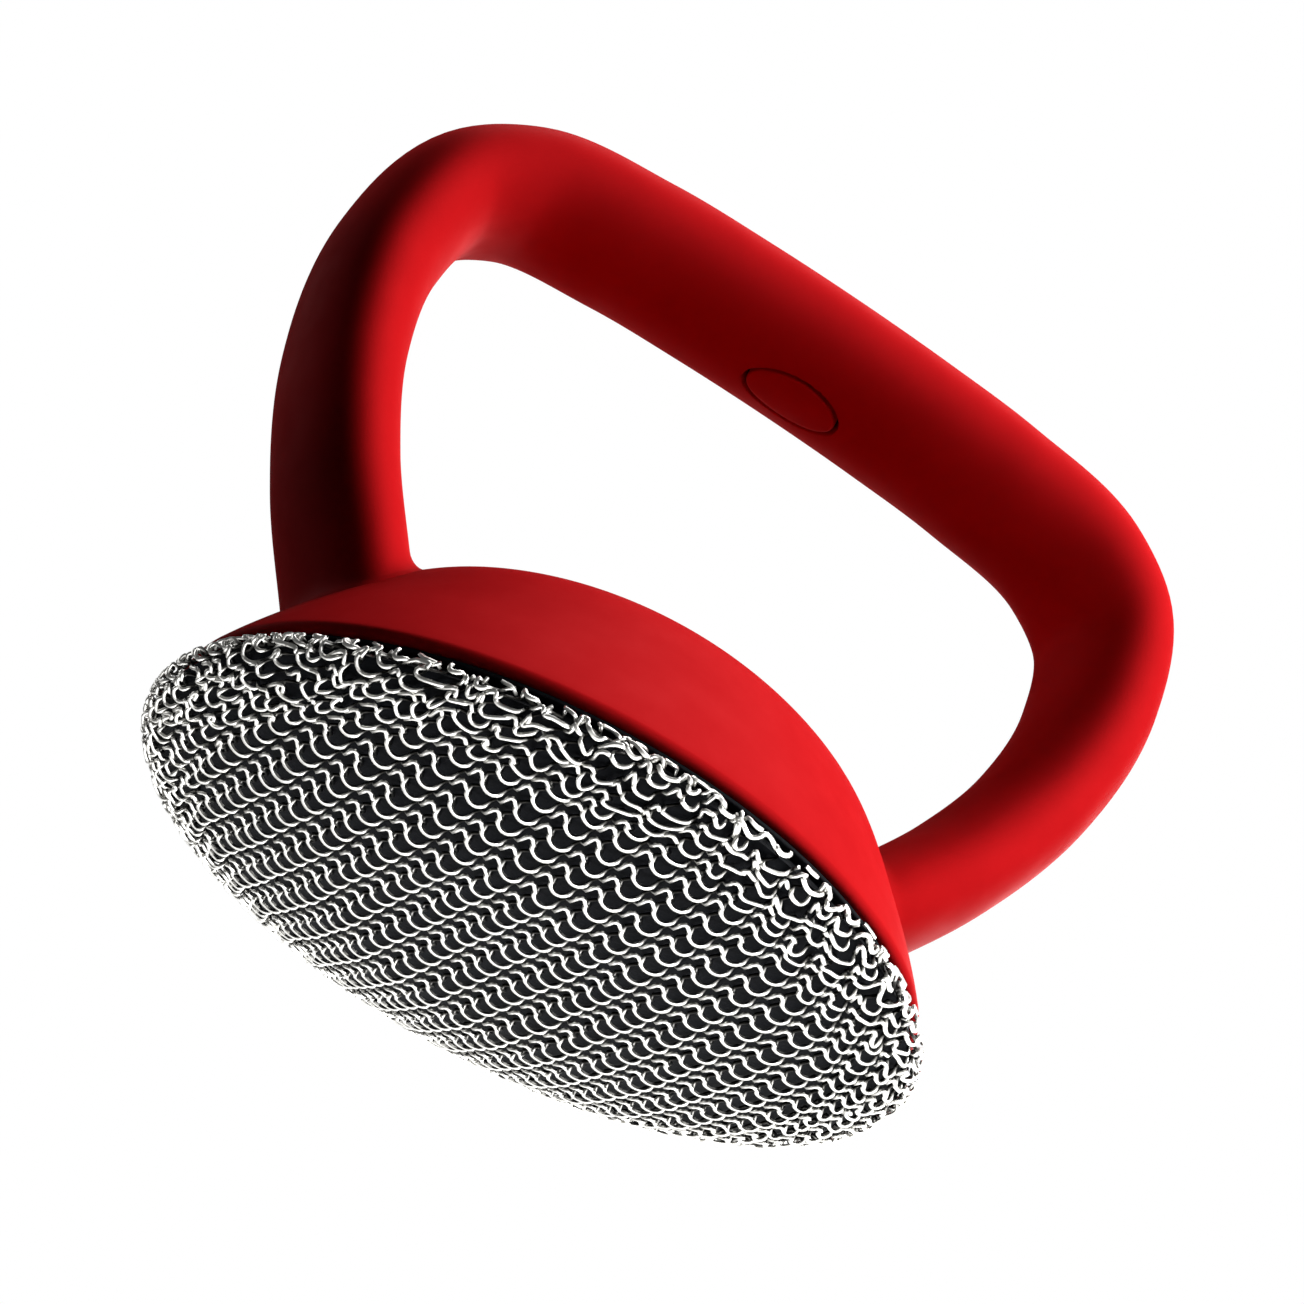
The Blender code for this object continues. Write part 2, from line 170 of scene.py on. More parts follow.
def pieceFrom(name, points, faces, material, smoothAngle, marks=None):
    # a piece in the shared frame from its points and faces, with the shares that its points carry
    mesh = bpy.data.meshes.new(name)
    mesh.from_pydata(points.reshape(-1, 3).tolist(), [], faces)
    for label, values in (marks or {}).items():
        mesh.attributes.new(label, "FLOAT", "POINT").data.foreach_set("value", values.ravel())
    return pieceOf(name, mesh, material, smoothAngle, True)


def turnedPiece(name, profile, steps, material, smoothAngle):
    # a profile of (radius, height) carried round Z: x = r cos a, y = r sin a, z = h; poles merge
    angle = np.linspace(0, 2 * np.pi, steps, endpoint=False)
    radius, height = np.array(profile).T
    points = np.stack(
        (radius[:, None] * np.cos(angle), radius[:, None] * np.sin(angle), np.repeat(height[:, None], steps, 1)), -1
    )
    return pieceFrom(name, points, gridFaces(len(radius), steps).tolist(), material, smoothAngle)


def lengthsAlong(points):
    # the length along a line of points, from its first point to each
    return np.concatenate(((0.0,), np.cumsum(np.linalg.norm(np.diff(points, axis=0), axis=1))))


def smoothPath(points, spanSteps, firstDirection, lastDirection):
    # cubic Hermite spans through the points: each inner slope is the mean of the two neighbouring
    # directions, each weighed by the length of the other run
    known = np.array(points, float)
    runs = np.diff(known, axis=0)
    lengths = np.linalg.norm(runs, axis=1)
    rate = runs / lengths[:, None]
    inner = (rate[:-1] * lengths[1:, None] + rate[1:] * lengths[:-1, None]) / (lengths[:-1] + lengths[1:])[:, None]
    slopes = np.vstack((firstDirection, inner, lastDirection))
    made = []
    for span, steps in enumerate(spanSteps):
        t = np.linspace(0, 1, steps, endpoint=False)[:, None]
        made.append(
            (2 * t**3 - 3 * t**2 + 1) * known[span]
            + (t**3 - 2 * t**2 + t) * lengths[span] * slopes[span]
            + (3 * t**2 - 2 * t**3) * known[span + 1]
            + (t**3 - t**2) * lengths[span] * slopes[span + 1]
        )
    return np.vstack((*made, known[-1:]))


def finishPiece(piece, slot, *nodes):
    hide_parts(*nodes)
    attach(piece, "root")


# materials; a bump is its strength and its depth in metres, a grain or mottle its size in metres

# the near-black colour below is painted shade for the well round the inlay
redSkinLook = {
    "lit": "#BA1519", "worn": "#B51418", "wornRange": (0.35, 0.7), "paintedWellShade": "#1C0203",
    "roughness": 0.66, "glossRange": (0.3, 0.7), "glossSwing": (-0.05, 0.07),
    "grain": 0.00022, "mottle": 0.006, "bump": (0.35, 0.00004),
    "ior": 1.47, "specular": 0.01, "specularTint": "#FF5A50",
    "sheen": 0.003, "sheenRoughness": 0.5, "sheenTint": "#FF2C24",
}
redShellLook = {**redSkinLook, "roughness": 0.6, "grain": 0.00018}


def softTouchRed(name, look):
    # thermoplastic rubber moulded over a core: a matt red with a fine spark-eroded grain from the mould,
    # slightly uneven gloss where hands have rubbed it, a dusty sheen, and painted shade, nearly black, in the well
    # round the inlay
    made, tree, output, place = newMaterial(name)
    grain = noiseAt(tree, place, 1 / look["grain"], Detail=2.0, Roughness=0.55)
    mottle = noiseAt(tree, place, 1 / look["mottle"], Detail=4.0, Roughness=0.6)
    rubbed = mixedColour(tree, ranged(tree, mottle, look["wornRange"]), look["lit"], look["worn"])
    # painted shade: the well round the inlay is darkened to nearly black by the share its points carry
    wellShaded = mixedColour(tree, marked(tree, "paintedWellShade"), rubbed, look["paintedWellShade"])
    swing = [look["roughness"] + part for part in look["glossSwing"]]
    endMaterial(
        tree, output,
        {
            "IOR": look["ior"], "Specular IOR Level": look["specular"],
            "Specular Tint": linearColour(look["specularTint"]), "Sheen Weight": look["sheen"],
            "Sheen Roughness": look["sheenRoughness"], "Sheen Tint": linearColour(look["sheenTint"]),
        },
        {
            "Base Color": wellShaded, "Roughness": ranged(tree, mottle, look["glossRange"], swing),
            "Normal": bumped(tree, grain, look),
        },
    )
    return made


# the darkest colour below is painted shade for the legs that lie inside
wireLook = {
    "bright": "#F2F1EC", "dull": "#C9C8C4", "dullRange": (0.42, 0.68), "paintedLegShade": "#2B2A28",
    "roughness": 0.28, "rougher": 0.16, "handling": 0.0016, "lineStretch": (24.0, 0.9, 1.0), "bump": (0.25, 0.00002),
}


def drawnStainlessWire(look):
    # stainless steel wire, drawn bright and rolled flat: hard white highlights, faint lines along the wire
    # from the die, duller stretches where it has been handled, and painted shade on the legs that lie inside, darker
    # the deeper they lie
    made, tree, output, place = newMaterial("drawn stainless wire")
    along = addNode(tree, "ShaderNodeUVMap", {"uv_map": "wire"}).outputs["UV"]
    stretch = addNode(tree, "ShaderNodeMapping", inputs={"Scale": look["lineStretch"]}, links={"Vector": along})
    lines = noiseAt(tree, stretch.outputs["Vector"], 1.0, Detail=3.0)
    handling = noiseAt(tree, place, 1 / look["handling"], Detail=3.0, Roughness=0.6)
    worn = ranged(tree, handling, look["dullRange"])
    clean = mixedColour(tree, worn, look["bright"], look["dull"])
    # painted shade: the legs that lie inside are darkened by the share their points carry
    legsShaded = mixedColour(tree, marked(tree, "legShadeShare"), clean, look["paintedLegShade"])
    gloss = ranged(tree, worn, (0.0, 1.0), (look["roughness"], look["roughness"] + look["rougher"]))
    endMaterial(
        tree, output, {"Metallic": 1.0},
        {"Base Color": legsShaded, "Roughness": gloss, "Normal": bumped(tree, lines, look)},
    )
    return made


zincLook = {"plate": "#B9BBBD", "spangle": "#8F9296", "roughness": 0.34, "grain": 0.0006, "bump": (0.2, 0.00002)}
oxideLook = {"plate": "#2B2C2E", "spangle": "#1B1C1E", "roughness": 0.5, "grain": 0.0004, "bump": (0.2, 0.00002)}


def platedSteel(name, look):
    # plated or blackened steel of small fasteners and tying wire: a satin with a fine crystalline mottle
    made, tree, output, place = newMaterial(name)
    spangle = cellsAt(tree, place, 1 / look["grain"])
    endMaterial(
        tree, output, {"Metallic": 1.0, "Roughness": look["roughness"]},
        {
            "Base Color": mixedColour(tree, spangle, look["plate"], look["spangle"]),
            "Normal": bumped(tree, spangle, look),
        },
    )
    return made


rubberLook = {
    "dark": "#050609", "dusty": "#0B0D12", "roughness": 0.7, "pore": 0.0007, "grain": 0.00025, "bump": (0.5, 0.0001),
    "ior": 1.5, "specular": 0.08,
}


def mouldedRubber(look):
    # black rubber of the pad: nearly no light comes back, a slightly blue black with tiny pores
    made, tree, output, place = newMaterial("moulded black rubber")
    pores = cellsAt(tree, place, 1 / look["pore"])
    grain = noiseAt(tree, place, 1 / look["grain"], Detail=3.0)
    relief = addNode(tree, "ShaderNodeMath", {"operation": "ADD"})
    tree.links.new(pores, relief.inputs[0])
    tree.links.new(grain, relief.inputs[1])
    endMaterial(
        tree, output,
        {"Roughness": look["roughness"], "IOR": look["ior"], "Specular IOR Level": look["specular"]},
        {
            "Base Color": mixedColour(tree, grain, look["dark"], look["dusty"]),
            "Normal": bumped(tree, relief.outputs["Value"], look),
        },
    )
    return made


nylonLook = {
    "dark": "#1A1A1C", "pale": "#2A2A2D", "roughness": 0.42, "flow": 0.004, "flowStretch": (0.3, 1.0, 1.0),
    "grain": 0.0003, "bump": (0.3, 0.00003), "ior": 1.53,
}


def glassFilledNylon(look):
    # glass-filled nylon of the hidden core and plate: a dark grey-black with pale flow streaks of fibre
    made, tree, output, place = newMaterial("glass-filled nylon")
    drawn = addNode(tree, "ShaderNodeMapping", inputs={"Scale": look["flowStretch"]}, links={"Vector": place})
    flow = noiseAt(tree, drawn.outputs["Vector"], 1 / look["flow"], Detail=6.0, Distortion=0.6)
    grain = noiseAt(tree, place, 1 / look["grain"], Detail=2.0)
    endMaterial(
        tree, output, {"Roughness": look["roughness"], "IOR": look["ior"]},
        {
            "Base Color": mixedColour(tree, flow, look["dark"], look["pale"]),
            "Normal": bumped(tree, grain, look),
        },
    )
    return made


redSkin = softTouchRed("soft-touch rubber skin", redSkinLook)
redShell = softTouchRed("soft-touch painted ABS", redShellLook)
wireSteel = drawnStainlessWire(wireLook)
plated = platedSteel("zinc-plated steel", zincLook)
blackened = platedSteel("black-oxide steel wire", oxideLook)
blackRubber = mouldedRubber(rubberLook)
nylon = glassFilledNylon(nylonLook)
print("materials made")


# red dome with its rounded lip; lengths of all pieces are in millimetres

dome = {
    "rimRadius": 48.0, "rimHeight": 12.12, "rimFlare": np.radians(30), "height": 28.6,
    "shares": ((1.0, 0.0), (0.865, 0.335), (0.661, 0.727), (0.443, 0.92), (0.0, 1.0)), "spanSteps": (14,) * 4,
    "lipRound": 0.9, "lipWidth": 3.5, "lipSteps": 10, "mouthEdge": 0.3, "mouthDepth": 2.8, "ledge": 4.0,
    "hollowInset": 6.0, "wall": 2.6, "steps": 160, "smoothAngle": 50,
}
domeFoot = dome["rimHeight"] + dome["lipRound"] * (1 + np.sin(dome["rimFlare"]))
wallShares = np.array(dome["shares"])
wallPoints = np.stack((dome["rimRadius"] * wallShares[:, 0], domeFoot + dome["height"] * wallShares[:, 1]), -1)
flareDirection = (-np.sin(dome["rimFlare"]), np.cos(dome["rimFlare"]))
domeWall = smoothPath(wallPoints, dome["spanSteps"], flareDirection, (-1.0, 0.0))


def domeHeightAt(radius):
    # height of the dome's outside above a radius; past the rim the wall's slope goes on
    outer = np.interp(radius, domeWall[::-1, 0], domeWall[::-1, 1])
    beyond = domeFoot - (radius - dome["rimRadius"]) / np.tan(dome["rimFlare"])
    return np.where(radius > dome["rimRadius"], beyond, outer)


def domeShell():
    # wall from the top down to the lip, a round of a third of a turn, then in to the mouth and up behind it
    turn = np.linspace(dome["rimFlare"], -np.pi / 2, dome["lipSteps"])[1:]
    foot = dome["rimHeight"]
    lip = np.stack(
        (
            dome["rimRadius"] - dome["lipRound"] * np.cos(dome["rimFlare"]) + dome["lipRound"] * np.cos(turn),
            foot + dome["lipRound"] + dome["lipRound"] * np.sin(turn),
        ), -1,
    )
    mouth = dome["rimRadius"] - dome["lipWidth"]
    inside = np.array((
        (mouth + dome["mouthEdge"], foot), (mouth, foot + dome["mouthEdge"]),
        (mouth, foot + dome["mouthDepth"]), (mouth - dome["ledge"], foot + dome["mouthDepth"]),
    ))
    hollow = domeWall[domeWall[:, 0] < mouth - dome["hollowInset"]] - (0.0, dome["wall"])
    profile = np.vstack((domeWall[::-1], lip, inside, hollow)) * mm
    profile[0, 0] = profile[-1, 0] = 0.0
    shell = turnedPiece("redDomeShell", profile, dome["steps"], redShell, dome["smoothAngle"])
    finishPiece(shell, "red_shell", "dome_shell")


# loop handle

loop = {
    "reach": 52.9, "rise": 81.5,
    "shares": ((0.69, 0.223), (0.848, 0.379), (0.962, 0.548), (1.0, 0.739), (0.939, 0.883), (0.814, 0.948),
               (0.515, 0.987), (0.256, 0.997), (0.0, 1.0)),
    "spanSteps": (20,) * 9, "footDepth": 9.5,
    "stations": (0.0, 0.45, 0.8, 1.0), "thickness": (12.9, 13.8, 14.2, 14.2), "width": (29.9, 27.1, 27.0, 27.0),
    "footFillet": 2.6, "filletSteps": 9, "outerLean": 0.35, "footShare": 0.999, "sink": 0.15,
    "footSearch": 45, "searchSteps": 900, "legSteps": 100, "smoothAngle": 50,
    # the finger side and the middle of the grip are finer, for the inlay's seat
    "fineSide": (148, 212), "fineSteps": 61, "coarseSteps": 38, "fineReach": 7.5, "fineRows": 73,
}
inlay = {
    "length": 12.8, "width": 9.2, "gap": 0.6, "depth": 1.4, "edgeRound": 0.35, "proud": 0.05,
    "wellReach": 8, "wellFacing": -0.5, "wellEdge": 0.05, "bottomGap": 0.1,
    "steps": 72, "roundSteps": 7, "ringSteps": 8, "pathReach": 40, "smoothAngle": 50,
}


def loopCentreLine():
    # half of the centre line from the foot to the grip, then its mirror image, and the length along it
    above = np.array(loop["shares"]) * (loop["reach"], loop["rise"]) + (0.0, dome["rimHeight"])
    lean = (above[1] - above[0]) / np.linalg.norm(above[1] - above[0])
    half = smoothPath(np.vstack((above[0] - lean * loop["footDepth"], above)), loop["spanSteps"], lean, (-1.0, 0.0))
    whole = np.vstack((half * (-1, 1), half[-2::-1]))
    return whole, lengthsAlong(whole)


loopPoints, loopLength = loopCentreLine()
loopTotal = loopLength[-1]
loopRun = np.gradient(loopPoints, loopLength, axis=0)
loopRun /= np.linalg.norm(loopRun, axis=1)[:, None]


def loopSurface(length, angle):
    # point on the handle: centre + side * (t/2) cos a + Y * (w/2) sin a, where t and w change along the loop
    centre = np.stack([np.interp(length, loopLength, loopPoints[:, k]) for k in (0, 1)], -1)
    run = np.stack([np.interp(length, loopLength, loopRun[:, k]) for k in (0, 1)], -1)
    run /= np.linalg.norm(run, axis=-1)[..., None]
    share = 1 - np.abs(2 * length / loopTotal - 1)
    thick = np.interp(share, loop["stations"], loop["thickness"]) / 2
    wide = np.interp(share, loop["stations"], loop["width"]) / 2
    outX, outZ = -run[..., 1], run[..., 0]
    cosA, sinA = np.cos(angle), np.sin(angle)
    point = np.stack((centre[..., 0] + outX * thick * cosA, wide * sinA, centre[..., 1] + outZ * thick * cosA), -1)
    normal = np.stack((outX * cosA / thick, sinA / wide, outZ * cosA / thick), -1)
    return point, normal / np.linalg.norm(normal, axis=-1)[..., None]


def footLength(angle, side):
    # for each line that runs along the leg: the length at which it comes out of the dome
    tries = np.linspace(0, loop["footSearch"], loop["searchSteps"])
    if side > 0:
        tries = loopTotal - tries
    point, _ = loopSurface(np.repeat(tries[:, None], len(angle), 1), np.repeat(angle[None], len(tries), 0))
    above = point[..., 2] - domeHeightAt(np.hypot(point[..., 0], point[..., 1])) > -loop["sink"]
    return tries[np.argmax(above, axis=0)]


def gripAngles():
    # the lines round the grip, closer together on the finger side
    low, high = loop["fineSide"]
    return np.concatenate((
        np.radians(np.linspace(0, low, loop["coarseSteps"])[:-1]),
        np.radians(np.linspace(low, high, loop["fineSteps"])),
        np.radians(np.linspace(high, 360, loop["coarseSteps"])[1:-1]),
    ))


def gripRows(left, right):
    # lengths of the rings: close at each foot's fillet, even along the legs, close again at the inlay
    fillet = loop["footFillet"]
    nearFoot = fillet * (1 - np.cos(np.linspace(0, np.pi / 2, loop["filletSteps"])))
    near = loopTotal / 2 - np.linspace(loop["fineReach"], -loop["fineReach"], loop["fineRows"])
    legShares = np.linspace(0, 1, loop["legSteps"])[1:-1]
    rows = [left + distance for distance in nearFoot]
    rows += [(left + fillet) * (1 - share) + near[0] * share for share in legShares]
    rows += [np.full(len(left), place) for place in near]
    rows += [near[-1] * (1 - share) + (right - fillet) * share for share in legShares]
    rows += [right - distance for distance in nearFoot[::-1]]
    return np.array(rows)


def gripSkin():
    # lines along the loop from dome to dome; within the fillet's reach each line leans out by a quarter round
    angle = gripAngles()
    left, right = footLength(angle, -1), footLength(angle, 1)
    length = gripRows(left, right)
    point, normal = loopSurface(length, np.repeat(angle[None], len(length), 0))
    fromFoot = np.minimum(length - left, right - length)
    reach = np.clip(1 - fromFoot / loop["footFillet"], 0, 1)
    # the fillet is fullest on the finger side
    inner = loop["outerLean"] + (1 - loop["outerLean"]) * np.clip(-np.cos(angle), 0, 1)
    lean = (1 - np.sqrt(1 - reach**2)) * loop["footFillet"] * inner
    point += normal * lean[..., None]
    floor = domeHeightAt(np.hypot(point[..., 0], point[..., 1])) - loop["sink"]
    point[..., 2] += (floor - point[..., 2]) * (reach > loop["footShare"])
    point[..., 2] = np.where(reach > 0, np.maximum(point[..., 2], floor), point[..., 2])
    # the inlay's seat: an oval well with soft edges, sunk along the normal; how far a point is sunk is also the share
    # of painted shade it carries
    wellLength = inlay["length"] / 2 + inlay["gap"]
    wellWidth = inlay["width"] / 2 + inlay["gap"]
    across = np.hypot(point[..., 0] / wellLength, point[..., 1] / wellWidth)
    inWell = (np.abs(length - loopTotal / 2) < inlay["wellReach"]) & (np.cos(angle) < inlay["wellFacing"])
    wall = np.clip((1.0 - across) / inlay["wellEdge"], 0, 1)
    sunk = np.where(inWell, wall * wall * (3 - 2 * wall), 0)
    point -= normal * (sunk * inlay["depth"])[..., None]
    faces = gridFaces(*length.shape).tolist() + endRings(*length.shape)
    skin = pieceFrom("redGripSkin", point * mm, faces, redSkin, loop["smoothAngle"], {"paintedWellShade": sunk})
    finishPiece(skin, "red_rubber", "grip_skin")


def ovalInlay():
    # an oval button that follows the grip: rings shrink to the middle, the outermost ones turn down as a round
    steps, ringSteps = inlay["steps"], inlay["ringSteps"]
    turn = np.linspace(0, 2 * np.pi, steps, endpoint=False)
    edge = inlay["edgeRound"]
    bend = np.linspace(0, np.pi / 2, inlay["roundSteps"])
    rings = np.linspace(edge, inlay["width"] / 2, ringSteps)[1:-1]
    inset = np.concatenate(((0.0,), edge * (1 - np.cos(bend)), rings))
    drop = np.concatenate(((inlay["depth"] - inlay["bottomGap"],), edge * (1 - np.sin(bend)), np.zeros(len(rings))))
    x = (inlay["length"] / 2 - inset)[:, None] * np.cos(turn)
    y = (inlay["width"] / 2 - inset)[:, None] * np.sin(turn)
    thick, wide = loop["thickness"][-1] / 2, loop["width"][-1] / 2
    middle = len(loopPoints) // 2
    path = loopPoints[middle - inlay["pathReach"]:middle + inlay["pathReach"] + 1]
    centreZ = np.interp(x, path[:, 0], path[:, 1])
    z = centreZ - thick * np.sqrt(1 - (y / wide) ** 2) - inlay["proud"] + drop[:, None]
    points = np.stack((x, y, z), -1)
    faces = gridFaces(len(inset), steps).tolist() + endRings(len(inset), steps)
    button = pieceFrom("redOvalInlay", points * mm, faces, redShell, inlay["smoothAngle"])
    finishPiece(button, "red_shell", "oval_inlay")


# scrubbing surface: rubber pad and knitted wire over it

face = {
    "crownRadius": 152.8, "flattening": 1.3, "softness": 0.12, "edgeRadius": 44.3, "coverRadius": 50.5,
    "cornerHeight": 4.1, "hemRadius": 47.4, "hemHeight": 11.1, "hemDrop": 0.4, "crownSteps": 120, "cornerSteps": 40,
}


def coverProfile():
    # outside of the cover as (radius, height): shallow bowl, round corner, then in below the rim
    crownR = np.linspace(0, face["edgeRadius"], face["crownSteps"])
    crown = np.stack((crownR, crownR**2 / (2 * face["crownRadius"]) - face["flattening"]), -1)
    start = crown[-1]
    bend = start + (face["coverRadius"] - start[0]) * np.array((1.0, start[0] / face["crownRadius"]))
    side = np.array((face["coverRadius"], start[1] + face["cornerHeight"]))
    hemBend = np.array((face["coverRadius"], face["hemHeight"] - face["hemDrop"]))
    hem = np.array((face["hemRadius"], face["hemHeight"]))
    t = np.linspace(0, 1, face["cornerSteps"])[1:, None]
    corner = (1 - t) ** 2 * start + 2 * t * (1 - t) * bend + t**2 * side
    fold = (1 - t) ** 2 * side + 2 * t * (1 - t) * hemBend + t**2 * hem
    # the soft pad lets the middle go flat
    crown[:, 1] = np.logaddexp(crown[:, 1] / face["softness"], 0.0) * face["softness"]
    return np.vstack((crown, corner, fold))


coverLine = coverProfile()
coverLength = lengthsAlong(coverLine)
coverRun = np.gradient(coverLine, coverLength, axis=0)
coverRun /= np.linalg.norm(coverRun, axis=1)[:, None]


def onCover(flat, depth):
    # a flat point (x, y) laid on the cover: its distance from the middle becomes length along the profile
    distance = np.hypot(flat[..., 0], flat[..., 1])
    angle = np.arctan2(flat[..., 1], flat[..., 0])
    radius = np.interp(distance, coverLength, coverLine[:, 0])
    height = np.interp(distance, coverLength, coverLine[:, 1])
    normalR = np.interp(distance, coverLength, coverRun[:, 1])
    normalZ = -np.interp(distance, coverLength, coverRun[:, 0])
    across = radius - normalR * depth
    point = np.stack((across * np.cos(angle), across * np.sin(angle), height - normalZ * depth), -1)
    normal = np.stack((normalR * np.cos(angle), normalR * np.sin(angle), normalZ), -1)
    return point, normal


pad = {
    "depth": 1.75, "bandRadius": 47.5, "bandBottom": 11.3, "top": 11.82, "grooveRadius": 45.9, "grooveRise": 0.4,
    "bandEdge": 0.15, "topEdge": 0.1, "hemShort": 1.5, "crownEvery": 3, "cornerEvery": 2,
    "steps": 144, "smoothAngle": 60,
}


def scrubbingPad():
    # the cover's profile drawn in by the depth of the knit, then the groove, the band and the flat back
    normal = np.stack((coverRun[:, 1], -coverRun[:, 0]), -1)
    under = (coverLine - normal * pad["depth"])[coverLength < coverLength[-1] - pad["hemShort"]]
    under[0, 0] = 0.0
    crownSteps = face["crownSteps"]
    under = np.vstack((under[:crownSteps:pad["crownEvery"]], under[crownSteps::pad["cornerEvery"]]))
    groove, band, bottom, top = pad["grooveRadius"], pad["bandRadius"], pad["bandBottom"], pad["top"]
    back = np.array((
        (groove, under[-1, 1] + pad["grooveRise"]), (groove, bottom), (band - pad["bandEdge"], bottom),
        (band, bottom + pad["bandEdge"]), (band, top - pad["topEdge"]), (band - pad["topEdge"], top), (0.0, top),
    ))
    profile = np.vstack((under, back)) * mm
    piece = turnedPiece("scrubbingPad", profile, pad["steps"], blackRubber, pad["smoothAngle"])
    finishPiece(piece, "black_rubber", "scrubbing_pad")


knit = {
    "stitchWidth": 4.99, "courseSpacing": 3.554,
    # one stitch from bend to bend: along the course, up towards the arch, outwards
    "stitch": (
        (0.0, -2.98, 0.38), (0.5, -2.7, 0.42), (1.0, -2.1, 0.34), (1.5, -1.4, -0.35), (2.05, -0.4, -0.7),
        (1.9, 0.4, -0.7), (1.1, 1.1, -0.3), (1.15, 1.8, 0.38), (1.75, 2.5, 0.42), (2.55, 2.85, 0.42),
        (3.35, 2.6, 0.38), (3.85, 1.85, 0.2), (4.08, 1.2, -0.5), (4.35, 0.3, -0.65), (4.66, -0.6, 0.0),
        (4.7, -1.8, 0.22), (4.99, -2.98, 0.38),
    ),
    "spanSteps": (2, 2, 2, 1, 1, 1, 1, 2, 2, 2, 2, 2, 1, 1, 1, 2),
    "wide": 0.64, "legWide": 0.36, "thick": 0.5, "sides": 5, "clearance": 0.02, "smoothAngle": 75,
    "courses": 19, "stitches": 14, "phase": 0.5, "shortest": 5,
    "looseFrom": 41.0, "looseOver": 7, "looseStretch": 0.6, "looseNarrower": 0.1, "edge": 54.8,
    # the part of the depth, behind the front, where the painted shade on the wire starts, and how fast it deepens
    "darkFrom": 0.36, "darkOver": 0.28,
}
# how the knit's lattice bows: u and v are across and up, each eased to a limit over its span; each term is
# the power of u, the power of v, the shift in x and the shift in y
bow = {
    "limit": 1.15, "acrossSpan": 9, "upSpan": 13, "leanX": -0.279, "leanY": 0.255,
    "terms": ((0, 2, 0.68, 2.86), (0, 3, -0.26, 0.0), (1, 1, 1.55, 0.0), (2, 0, 0.74, -1.86), (1, 2, 0.0, 2.78),
              (2, 1, 0.0, -1.29), (3, 0, 0.0, 0.74)),
}
# unevenness of the knit: in the middle, and what the loose edge adds to it
uneven = {
    "taller": (0.03, 0.10), "wider": 0.12, "own": (0.07, 0.22),
    # wandering of the wire: size, seed, amount in the middle, amount that the edge adds
    "drifts": ((9.0, 3, 0.14, 0.4), (4.0, 5, 0.0, 0.55)),
    # each drift: how many waves, their shortest and longest as shares of its size, what their sum is divided by
    "waves": 6, "waveSizes": (0.7, 2.2), "waveShare": 3,
    # the outline of the edge: amplitude, waves to the turn and phase of the sine and of the cosine
    "edgeSine": (0.8, 7, 1.0), "edgeCosine": (0.7, 1, 0.9),
}


def latticeToFlat(across, up):
    # the knit's lattice as it lies: rows rise a few degrees to the right and bow slightly, and the rows
    # crowd together towards the edge
    u = bow["limit"] * np.tanh(across / bow["acrossSpan"] / bow["limit"])
    v = bow["limit"] * np.tanh(up / bow["upSpan"] / bow["limit"])
    x = knit["stitchWidth"] * across + bow["leanX"] * up
    y = knit["courseSpacing"] * up + bow["leanY"] * across
    for powerU, powerV, shiftX, shiftY in bow["terms"]:
        x = x + shiftX * u**powerU * v**powerV
        y = y + shiftY * u**powerU * v**powerV
    distance = np.hypot(x, y)
    loose = np.clip(distance - knit["looseFrom"], 0, None)
    drawnIn = (distance + loose * (knit["looseStretch"] - 1)) / np.maximum(distance, 1e-6)
    return np.stack((x, y), -1) * drawnIn[..., None]


def drift(flat, size, seed):
    # smooth wandering of the wire: a sum of sine waves in random directions
    waves = np.random.default_rng(seed)
    shape = (2, uneven["waves"])
    low, high = uneven["waveSizes"]
    turn = waves.uniform(0, 2 * np.pi, shape)
    pace = 2 * np.pi / waves.uniform(low * size, high * size, shape)
    start = waves.uniform(0, 2 * np.pi, shape)
    moved = [
        sum(np.sin(pace[k, n] * (flat[..., 0] * np.cos(turn[k, n]) + flat[..., 1] * np.sin(turn[k, n])) + start[k, n])
            for n in range(shape[1])) / uneven["waveShare"]
        for k in range(shape[0])
    ]
    return np.stack(moved, -1)


def stitchNoise(stitch, courses):
    # four smooth random layers that change from stitch to stitch along each course, with a spare column
    # before the first stitch and two after the last
    layers = rng.normal(0, 1, (4, courses, 2 * knit["stitches"] + 3))
    column = stitch + knit["stitches"] + 1
    low = np.floor(column).astype(int)
    blend = column - low
    blend = blend * blend * (3 - 2 * blend)
    row = np.broadcast_to(np.arange(courses)[:, None], stitch.shape)
    return [
        layer[row, low] * (1 - blend) + layer[row, np.minimum(low + 1, layer.shape[1] - 1)] * blend
        for layer in layers
    ]


